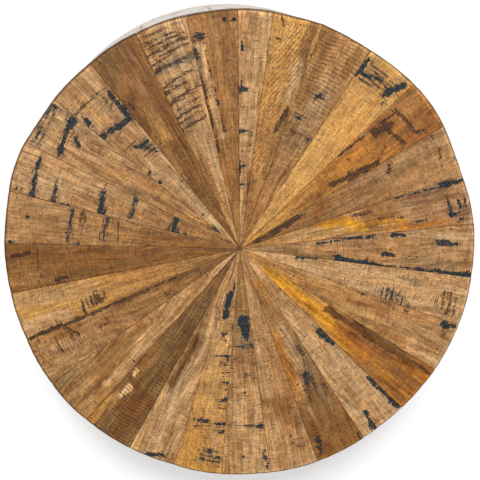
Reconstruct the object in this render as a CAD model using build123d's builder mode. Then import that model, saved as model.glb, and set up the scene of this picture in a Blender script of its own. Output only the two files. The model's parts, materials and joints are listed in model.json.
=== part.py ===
from build123d import *
import os
from math import asin, cos, degrees, radians, sin, tan

# Round drum side table: a sunburst top of wedge boards on a coopered drum of upright staves.
# Millimetres. +Z is up, and the origin is on the floor under the point where the boards meet.

# Overall sizes
table_height = 450.0
rim_radius = 300.0  # nominal radius of the top; its hand-cut rim wanders from it a little
overhang = 6.5  # how far the nominal rim stands out past the wall

# Top boards
board_thick = 22.0
rim_round = 3.0  # rounding of the rim's upper edge
plug_radius = 2.6  # filler plug where the boards' tips meet
first_board_angle = 5.7  # where the first board starts, in degrees counter-clockwise from +X

# Each top board in turn: its share of the circle in degrees, and how far its rim stands out past
# the nominal radius where the board starts, at its middle and where it ends
boards = [
    (12.4, 0.5, -1.0, -3.0),
    (13.0, -3.0, -2.5, 0.5),
    (12.6, 0.5, 2.0, 1.5),
    (13.1, 1.5, 0.0, -1.5),
    (13.1, -1.5, -1.0, 0.5),
    (12.2, 0.5, -0.5, 1.0),
    (8.4, 1.0, 1.5, 1.5),
    (12.3, 1.5, 1.0, 1.0),
    (12.6, 1.0, 1.5, 0.5),
    (12.8, 0.5, 1.0, -0.5),
    (12.3, -0.5, 0.0, 0.0),
    (12.3, 0.0, -0.5, 1.5),
    (12.5, 1.5, 2.0, 0.0),
    (12.8, 0.0, -2.0, -2.0),
    (12.6, -2.0, -3.0, -3.5),
    (12.4, -3.5, -3.5, -3.5),
    (12.7, -3.5, -2.0, -1.5),
    (12.6, -1.5, 0.0, -0.5),
    (12.9, -0.5, -0.5, -0.5),
    (11.9, -0.5, -0.5, -0.5),
    (12.2, -0.5, 1.0, 1.5),
    (12.3, 1.5, 1.5, 2.5),
    (12.0, 2.5, 3.0, 3.0),
    (12.8, 3.0, 2.5, 1.5),
    (12.2, 1.5, 0.5, 0.5),
    (12.6, 0.5, 1.0, 1.5),
    (12.6, 1.5, 1.5, 1.5),
    (12.4, 1.5, 1.5, 0.5),
    (13.4, 0.5, 0.5, 0.5),
]

# Wall staves
stave_thick = 20.0  # at the middle of a stave, whose inner face is flat
wall_clear = 4.0  # floor to the staves' lower ends
first_stave_angle = -4.0
stave_spans = [19, 21, 20, 18, 22, 20, 19, 21, 20, 22, 18, 20, 21, 19, 20, 22, 18, 20]

# Plywood discs and posts
deck_thick = 18.0
base_thick = 18.0
post_side = 45.0
post_edge_round = 3.0
post_count = 4
post_inset = 73.0  # edge of the discs to the posts' middles
first_post_angle = 45.0

# Floor glides
glide_radius = 12.5
glide_height = 10.0
glide_edge = 1.0
pin_radius = 1.2
pin_length = 12.0

# Screws and nails
board_screw_radius = 2.0
board_screw_head_radius = 4.0
board_screw_length = 30.0
inner_screw_circle = 110.0
screw_nail_space = 12.0  # tips of the stave nails to the outer board screws' middles
post_screw_radius = 2.5
post_screw_head_radius = 5.0
post_screw_length = 60.0
post_screw_spacing = 24.0
drive_side = 2.6  # square drive recess in the screw heads
drive_depth = 1.4
nail_radius = 1.3
nail_head_radius = 3.0
nail_head_thick = 1.2
nail_length = 40.0
nail_set = 0.8  # depth of a nail head under the wall's face
nail_inset = 20.0  # edge of a stave to its nails
glide_nail_space = 8.0  # tips of the stave nails to the glides' pins

# Clearances
seam_gap = 0.3  # between neighbouring boards, and between neighbouring staves
fit_gap = 0.3  # between a disc and the staves round it, and past the end of a screw or nail
hole_clear = 0.1  # between a screw, nail or pin and its hole, on the radius

# Levels and radii that follow from the sizes
deck_top = table_height - board_thick
deck_bottom = deck_top - deck_thick
base_top = glide_height + base_thick
wall_radius = rim_radius - overhang
inner_face_radius = wall_radius - stave_thick
disc_radius = inner_face_radius - fit_gap
nail_tip_radius = wall_radius - nail_set - nail_length
outer_screw_circle = nail_tip_radius - screw_nail_space
glide_circle = nail_tip_radius - glide_nail_space
post_circle = disc_radius - post_inset


def spot(radius, angle):
    """The point at a radius and an angle in degrees about the table's axis."""
    return (radius * cos(radians(angle)), radius * sin(radians(angle)))


def down(radius, angle, height):
    """A place for a hole or fastener that goes down from a height."""
    return Location((*spot(radius, angle), height), (0, 0, angle))


def up(radius, angle, height):
    """A place for a hole or fastener that goes up from a height."""
    return Location((*spot(radius, angle), height), (180, 0, angle))


def inward(radius, angle, height):
    """A place for a hole or fastener that goes in towards the table's axis."""
    return Plane(origin=(*spot(radius, angle), height), z_dir=(*spot(1, angle), 0)).location


def half_seam(radius):
    """The angle in degrees that half a seam takes up at a radius."""
    return degrees(asin(seam_gap / 2 / radius))


os.makedirs("parts", exist_ok=True)

# Where each board and stave starts and ends, from their shares of the circle
board_angles = [first_board_angle]
for span, *_ in boards:
    board_angles.append(board_angles[-1] + span * 360 / sum(board[0] for board in boards))
stave_angles = [first_stave_angle]
for span in stave_spans:
    stave_angles.append(stave_angles[-1] + span * 360 / sum(stave_spans))

# Places of the fasteners
board_middles = [(start + end) / 2 for start, end in zip(board_angles, board_angles[1:])]
screw_circles = (inner_screw_circle, outer_screw_circle)
post_angles = [first_post_angle + index * 360 / post_count for index in range(post_count)]
post_screw_circles = (
    post_circle - post_screw_spacing / 2,
    post_circle + post_screw_spacing / 2,
)
nail_edge_angle = degrees(nail_inset / wall_radius)
nail_angles = [angle + nail_edge_angle for angle in stave_angles[:-1]]
nail_angles += [angle - nail_edge_angle for angle in stave_angles[1:]]
deck_nail_level = deck_bottom + deck_thick / 2
base_nail_level = glide_height + base_thick / 2

board_screw_places = [
    up(radius, angle, deck_bottom) for radius in screw_circles for angle in board_middles
]
deck_screw_places = [
    down(radius, angle, deck_top) for radius in post_screw_circles for angle in post_angles
]
base_screw_places = [
    up(radius, angle, glide_height) for radius in post_screw_circles for angle in post_angles
]
deck_nail_places = [inward(wall_radius, angle, deck_nail_level) for angle in nail_angles]
base_nail_places = [inward(wall_radius, angle, base_nail_level) for angle in nail_angles]
glide_places = [down(glide_circle, angle, 0) for angle in post_angles]

# Wedge boards of the top, each with a sawn rim of its own and two blind pilot holes underneath
for index, (_, rim_start, rim_middle, rim_end) in enumerate(boards):
    start, end = board_angles[index], board_angles[index + 1]
    middle = board_middles[index]
    tip = spot(seam_gap / 2 / sin(radians((end - start) / 2)), middle)
    first_corner = spot(rim_radius + rim_start, start + half_seam(rim_radius + rim_start))
    last_corner = spot(rim_radius + rim_end, end - half_seam(rim_radius + rim_end))
    with BuildPart() as top_board:
        with BuildSketch(Plane.XY.offset(deck_top)):
            with BuildLine():
                Polyline(first_corner, tip, last_corner)
                ThreePointArc(first_corner, spot(rim_radius + rim_middle, middle), last_corner)
            make_face()
            Circle(plug_radius + fit_gap, mode=Mode.SUBTRACT)
        extrude(amount=board_thick)
        top_edges = top_board.edges().group_by(Axis.Z)[-1]
        rim_edge = top_edges.sort_by_distance((0, 0, table_height))[-1]
        fillet(rim_edge, radius=rim_round)
        with Locations(*[up(radius, middle, deck_top) for radius in screw_circles]):
            Hole(
                radius=board_screw_radius + hole_clear,
                depth=board_screw_length - deck_thick + fit_gap,
            )
    name = f"top_board_{index + 1:02d}"
    top_board.part.label = name
    export_step(top_board.part, f"parts/{name}.step")

# Filler plug at the middle of the top
with BuildPart() as centre_plug:
    with BuildSketch(Plane.XY.offset(deck_top)):
        Circle(plug_radius)
    extrude(amount=board_thick)
centre_plug.part.label = "centre_plug"
export_step(centre_plug.part, "parts/centre_plug.step")

# Upright staves of the wall: a round outer face, a flat inner face and bevelled edges
for index, (start, end) in enumerate(zip(stave_angles, stave_angles[1:])):
    middle, half_span = (start + end) / 2, (end - start) / 2
    half_inner = inner_face_radius * tan(radians(half_span)) - seam_gap / 2 / cos(radians(half_span))
    first_outer = spot(wall_radius, half_seam(wall_radius) - half_span)
    last_outer = spot(wall_radius, half_span - half_seam(wall_radius))
    with BuildPart() as wall_stave:
        with BuildSketch(Plane(down(0, middle, wall_clear))):
            with BuildLine():
                Polyline(
                    first_outer,
                    (inner_face_radius, -half_inner),
                    (inner_face_radius, half_inner),
                    last_outer,
                )
                ThreePointArc(first_outer, (wall_radius, 0), last_outer)
            make_face()
        extrude(amount=deck_top - wall_clear)
        with Locations(
            *[
                inward(wall_radius, angle, level)
                for angle in (start + nail_edge_angle, end - nail_edge_angle)
                for level in (base_nail_level, deck_nail_level)
            ]
        ):
            CounterBoreHole(
                radius=nail_radius + hole_clear,
                counter_bore_radius=nail_head_radius + hole_clear,
                counter_bore_depth=nail_set + nail_head_thick,
                depth=2 * stave_thick,
            )
    name = f"wall_stave_{index + 1:02d}"
    wall_stave.part.label = name
    export_step(wall_stave.part, f"parts/{name}.step")

# Plywood deck under the boards, screwed up into them and down into the posts
with BuildPart() as top_deck:
    with BuildSketch(Plane.XY.offset(deck_bottom)):
        Circle(disc_radius)
    extrude(amount=deck_thick)
    with Locations(*board_screw_places):
        CounterSinkHole(
            radius=board_screw_radius + hole_clear,
            counter_sink_radius=board_screw_head_radius + hole_clear,
            depth=deck_thick,
            counter_sink_angle=90,
        )
    with Locations(*deck_screw_places):
        CounterSinkHole(
            radius=post_screw_radius + hole_clear,
            counter_sink_radius=post_screw_head_radius + hole_clear,
            depth=deck_thick,
            counter_sink_angle=90,
        )
    with Locations(*deck_nail_places):
        Hole(radius=nail_radius + hole_clear, depth=nail_set + nail_length + fit_gap)
top_deck.part.label = "top_deck"
export_step(top_deck.part, "parts/top_deck.step")

# Plywood disc inside the wall's lower end
with BuildPart() as base_disc:
    with BuildSketch(Plane.XY.offset(glide_height)):
        Circle(disc_radius)
    extrude(amount=base_thick)
    with Locations(*base_screw_places):
        CounterSinkHole(
            radius=post_screw_radius + hole_clear,
            counter_sink_radius=post_screw_head_radius + hole_clear,
            depth=base_thick,
            counter_sink_angle=90,
        )
    with Locations(*base_nail_places):
        Hole(radius=nail_radius + hole_clear, depth=nail_set + nail_length + fit_gap)
    with Locations(*[up(glide_circle, angle, glide_height) for angle in post_angles]):
        Hole(radius=pin_radius + hole_clear, depth=pin_length + fit_gap)
base_disc.part.label = "base_disc"
export_step(base_disc.part, "parts/base_disc.step")

# Square posts between the two discs
for index, angle in enumerate(post_angles):
    with BuildPart() as post:
        with BuildSketch(Plane(down(post_circle, angle, base_top))):
            RectangleRounded(post_side, post_side, post_edge_round)
        extrude(amount=deck_bottom - base_top)
        with Locations(*[down(radius, angle, deck_bottom) for radius in post_screw_circles]):
            Hole(
                radius=post_screw_radius + hole_clear,
                depth=post_screw_length - deck_thick + fit_gap,
            )
        with Locations(*[up(radius, angle, base_top) for radius in post_screw_circles]):
            Hole(
                radius=post_screw_radius + hole_clear,
                depth=post_screw_length - base_thick + fit_gap,
            )
    name = f"post_{index + 1}"
    post.part.label = name
    export_step(post.part, f"parts/{name}.step")


def screw_turned(radius, head_radius, length):
    """The closed outline of half a countersunk screw, with the middle of its head at 0."""
    Polyline(
        (0, 0),
        (head_radius, 0),
        (radius, radius - head_radius),
        (radius, 2 * radius - length),
        (0, -length),
        close=True,
    )


# Screws that hold the boards down on the deck
with BuildPart() as board_screw:
    with BuildSketch(Plane.XZ):
        with BuildLine():
            screw_turned(board_screw_radius, board_screw_head_radius, board_screw_length)
        make_face()
    revolve(axis=Axis.Z)
    Box(drive_side, drive_side, 2 * drive_depth, mode=Mode.SUBTRACT)
with BuildPart() as board_screws:
    with Locations(*board_screw_places):
        add(board_screw.part)
board_screws.part.label = "board_screws"
export_step(board_screws.part, "parts/board_screws.step")

# Screws that hold the discs on the posts
with BuildPart() as post_screw:
    with BuildSketch(Plane.XZ):
        with BuildLine():
            screw_turned(post_screw_radius, post_screw_head_radius, post_screw_length)
        make_face()
    revolve(axis=Axis.Z)
    Box(drive_side, drive_side, 2 * drive_depth, mode=Mode.SUBTRACT)
with BuildPart() as post_screws:
    with Locations(*deck_screw_places, *base_screw_places):
        add(post_screw.part)
post_screws.part.label = "post_screws"
export_step(post_screws.part, "parts/post_screws.step")

# Nails that hold the staves on the discs, set just under the wall's face
with BuildPart() as stave_nail:
    with BuildSketch(Plane.XZ):
        with BuildLine():
            Polyline(
                (0, -nail_set),
                (nail_head_radius, -nail_set),
                (nail_head_radius, -nail_set - nail_head_thick),
                (nail_radius, -nail_set - nail_head_thick),
                (nail_radius, 2 * nail_radius - nail_set - nail_length),
                (0, -nail_set - nail_length),
                close=True,
            )
        make_face()
    revolve(axis=Axis.Z)
with BuildPart() as stave_nails:
    with Locations(*deck_nail_places, *base_nail_places):
        add(stave_nail.part)
stave_nails.part.label = "stave_nails"
export_step(stave_nails.part, "parts/stave_nails.step")

# Nail-on glides that the table stands on
with BuildPart() as glide:
    with BuildSketch(Plane.XZ):
        with BuildLine():
            Polyline(
                (0, 0),
                (glide_radius - glide_edge, 0),
                (glide_radius, glide_edge),
                (glide_radius, glide_height),
                (pin_radius, glide_height),
                (pin_radius, glide_height + pin_length - pin_radius),
                (0, glide_height + pin_length),
                close=True,
            )
        make_face()
    revolve(axis=Axis.Z)
with BuildPart() as floor_glides:
    with Locations(*glide_places):
        add(glide.part)
floor_glides.part.label = "floor_glides"
export_step(floor_glides.part, "parts/floor_glides.step")
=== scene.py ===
import bmesh
import bpy
import json
import numpy as np
from math import asin, cos, pi, radians, sin, tan
from mathutils import Matrix, Vector


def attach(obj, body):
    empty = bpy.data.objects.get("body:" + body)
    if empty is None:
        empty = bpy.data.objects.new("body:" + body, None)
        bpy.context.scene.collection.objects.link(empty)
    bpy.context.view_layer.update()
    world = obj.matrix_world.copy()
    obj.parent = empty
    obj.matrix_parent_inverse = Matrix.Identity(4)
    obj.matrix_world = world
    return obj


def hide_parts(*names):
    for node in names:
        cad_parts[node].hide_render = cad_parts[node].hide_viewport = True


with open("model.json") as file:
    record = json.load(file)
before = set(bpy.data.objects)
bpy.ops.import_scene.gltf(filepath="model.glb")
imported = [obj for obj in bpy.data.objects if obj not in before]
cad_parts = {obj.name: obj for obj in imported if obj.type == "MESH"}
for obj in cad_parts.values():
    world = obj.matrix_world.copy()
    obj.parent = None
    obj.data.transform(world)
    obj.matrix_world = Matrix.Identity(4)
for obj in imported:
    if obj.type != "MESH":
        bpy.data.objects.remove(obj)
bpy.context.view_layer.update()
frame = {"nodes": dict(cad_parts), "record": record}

# Camera
# It stands almost above the table, 1.9 m from the top, so that the round top fills the picture and
# a sliver of the wall shows behind it. The picture is taken to be 480 x 480 pixels.
camera_distance = 1.89
camera_bearing = 103.4  # degrees counter-clockwise from +X
camera_height_angle = 78.6  # degrees above the table's top
focal_pixels = 1490
picture_pixels = 480
table_top = frame["record"]["size"]["bbox_m"][2]
top_middle = Vector((0.0, 0.0, table_top))
aim = Vector((0.0, 0.0114, table_top))


def direction(bearing, height_angle):
    """The unit vector at a bearing, counter-clockwise from +X, and an angle above level, both in
    degrees."""
    bearing, height_angle = radians(bearing), radians(height_angle)
    level = cos(height_angle)
    return Vector((level * cos(bearing), level * sin(bearing), sin(height_angle)))


camera_place = top_middle + camera_distance * direction(camera_bearing, camera_height_angle)
camera_back = (camera_place - aim).normalized()
camera_right = Vector((0.0, 1.0, 0.0)).cross(camera_back).normalized()
camera_up = camera_back.cross(camera_right)
camera_data = bpy.data.cameras.new("camera")
camera_data.lens = focal_pixels / picture_pixels * camera_data.sensor_width
camera = bpy.data.objects.new("camera", camera_data)
camera_turn = Matrix((camera_right, camera_up, camera_back)).transposed().to_4x4()
camera.matrix_world = Matrix.Translation(camera_place) @ camera_turn
bpy.context.scene.collection.objects.link(camera)
bpy.context.scene.camera = camera
bpy.context.scene.view_settings.view_transform = "Standard"


# Floor and light
# A plain white studio floor of matt paper. One lamp stands high at the picture's top and throws the
# shadow downwards, a weaker one stands nearly overhead, and a pale room fills the shadows.
floor_half = 6.0
paper_white = "#efefef"
glow_from, glow_to = 0.5, 1.3  # metres from the table's axis, between which the glow rises
glow_near, glow_far = 0.25, 0.8
gap_reach = 0.285  # metres from the axis, the part of the floor under the base disc
gap_strength = 0.55
room_white = "#ffffff"
room_light = 0.38
lamps = (
    # name, bearing and height angle in degrees, distance and width in metres, power in watts
    ("key_lamp", 96, 68.5, 7.0, 0.7, 240),
    ("side_lamp", 60, 80, 7.0, 1.4, 70),
)


def linear(hex_colour):
    """An sRGB hex colour as linear red, green, blue and alpha 1."""
    channels = [int(hex_colour[i : i + 2], 16) / 255 for i in (1, 3, 5)]
    return [c / 12.92 if c <= 0.04045 else ((c + 0.055) / 1.055) ** 2.4 for c in channels] + [1.0]


def add_node(material, kind, *inputs, output=0, **settings):
    """Adds a shader node and returns one of its outputs. The inputs fill its sockets in turn, a
    setting named input_3 or input_Scale fills that socket, and any other setting is a property of
    the node. A socket takes a value or another node's output."""
    node = material.node_tree.nodes.new(kind)
    filled = dict(enumerate(inputs))
    for name, value in settings.items():
        if name.startswith("input_"):
            key = name[6:].replace("_", " ")
            filled[int(key) if key.isdigit() else key] = value
        else:
            setattr(node, name, value)
    for key, value in filled.items():
        if isinstance(value, bpy.types.NodeSocket):
            material.node_tree.links.new(value, node.inputs[key])
        else:
            node.inputs[key].default_value = value
    return node.outputs[output]


def new_material(name):
    """A material whose node tree holds nothing but its output."""
    material = bpy.data.materials.new(name)
    material.use_nodes = True
    material.node_tree.nodes.remove(material.node_tree.nodes["Principled BSDF"])
    return material


def finish_material(material, shader):
    """Joins a shader to the material's output and returns the material."""
    output = material.node_tree.nodes["Material Output"]
    material.node_tree.links.new(shader, output.inputs["Surface"])
    return material


def seen_plainly(material):
    """A node output that is 1 for rays that see straight, in a mirror or through glass, else 0."""
    ray = add_node(material, "ShaderNodeLightPath").node.outputs
    seen = ray["Is Camera Ray"]
    for other in (ray["Is Glossy Ray"], ray["Is Transmission Ray"]):
        seen = add_node(material, "ShaderNodeMath", seen, other, operation="MAXIMUM")
    return seen


floor_mesh = bpy.data.meshes.new("floor")
floor_mesh.from_pydata(
    [(x * floor_half, y * floor_half, 0.0) for x, y in ((-1, -1), (1, -1), (1, 1), (-1, 1))],
    [],
    [(0, 1, 2, 3)],
)
floor = bpy.data.objects.new("floor", floor_mesh)
bpy.context.scene.collection.objects.link(floor)

# The paper takes the table's shadow, and a glow that grows outwards keeps the far floor white
paper = new_material("matt_white_paper")
matt = add_node(paper, "ShaderNodeBsdfDiffuse", linear(paper_white))
place = add_node(paper, "ShaderNodeTexCoord", output="Object")
from_axis = add_node(paper, "ShaderNodeVectorMath", place, operation="LENGTH", output="Value")
rise = add_node(paper, "ShaderNodeMapRange", from_axis, glow_from, glow_to, glow_near, glow_far)
glow = add_node(paper, "ShaderNodeEmission", input_Strength=rise)
# Seen from below, the gap of 4 mm under the base would be black, so the floor lights it plainly
under_base = add_node(paper, "ShaderNodeMath", from_axis, gap_reach, operation="LESS_THAN")
diffuse_ray = add_node(paper, "ShaderNodeLightPath", output="Is Diffuse Ray")
into_gap = add_node(paper, "ShaderNodeMath", under_base, diffuse_ray, operation="MULTIPLY")
gap_level = add_node(paper, "ShaderNodeMath", into_gap, gap_strength, operation="MULTIPLY")
gap_glow = add_node(paper, "ShaderNodeEmission", input_Strength=gap_level)
glow = add_node(paper, "ShaderNodeMixShader", seen_plainly(paper), gap_glow, glow)
lit = add_node(paper, "ShaderNodeAddShader", matt, glow)
# A view from below the floor looks through it
underneath = add_node(paper, "ShaderNodeNewGeometry", output="Backfacing")
clear = add_node(paper, "ShaderNodeBsdfTransparent")
sheet = add_node(paper, "ShaderNodeMixShader", underneath, lit, clear)
floor_mesh.materials.append(finish_material(paper, sheet))

# The room lights the table faintly but looks white itself
world = bpy.data.worlds.new("pale_room")
world.use_nodes = True
room = world.node_tree.nodes["Background"]
room.inputs["Color"].default_value = linear(room_white)
strength = add_node(world, "ShaderNodeMapRange", seen_plainly(world), 0.0, 1.0, room_light, 1.0)
world.node_tree.links.new(strength, room.inputs["Strength"])
bpy.context.scene.world = world

for name, bearing, height_angle, distance, width, power in lamps:
    lamp_data = bpy.data.lights.new(name, "AREA")
    lamp_data.size = width
    lamp_data.energy = power
    lamp = bpy.data.objects.new(name, lamp_data)
    towards_lamp = direction(bearing, height_angle)
    lamp_turn = towards_lamp.to_track_quat("Z", "Y").to_matrix().to_4x4()
    lamp.matrix_world = Matrix.Translation(top_middle + distance * towards_lamp) @ lamp_turn
    bpy.context.scene.collection.objects.link(lamp)


# Top boards
# Twenty-nine wedges of reclaimed mango wood, sawn from old painted and tarred beams, laid as a
# sunburst, screwed from below and rubbed with oil. Each keeps its own colour, saw marks and stains.
first_board_angle = 5.7  # where the first board starts, in degrees counter-clockwise from +X
board_bottom = 0.428
plug_radius = 0.0026
tip_clear = 0.0003  # from the plug to the boards' tips
half_seam = 0.00015
rim_round = 0.003
rim_zone = 0.28  # what lies farther from the axis than this belongs to the rim
row_step = 0.00125
column_step = 0.0012  # across the board, at the rim
edge_columns = np.array((0.0, 0.00045, 0.001, 0.0018))  # closer together beside the seams
round_rows, side_rows = 6, 10  # over the rounded rim and down its side

# What the old wood looks like, from raw heart to worn and bleached faces
wood_tones = {
    "umber": "#6c431a", "bark": "#79552c", "walnut": "#845727", "hazel": "#8e602d",
    "chestnut": "#955a22", "nutmeg": "#986834", "saddle": "#a4713c", "russet": "#a66c31",
    "fawn": "#a87a52", "tan": "#ae8050", "caramel": "#b68142", "biscuit": "#bb9162",
    "sand": "#c39664", "honey": "#c08740", "wheat": "#c9934d", "straw": "#cea06d",
    "gold": "#d39a52", "amber": "#c0771b", "ochre": "#d08c18", "drift": "#7f6d50",
}

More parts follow.
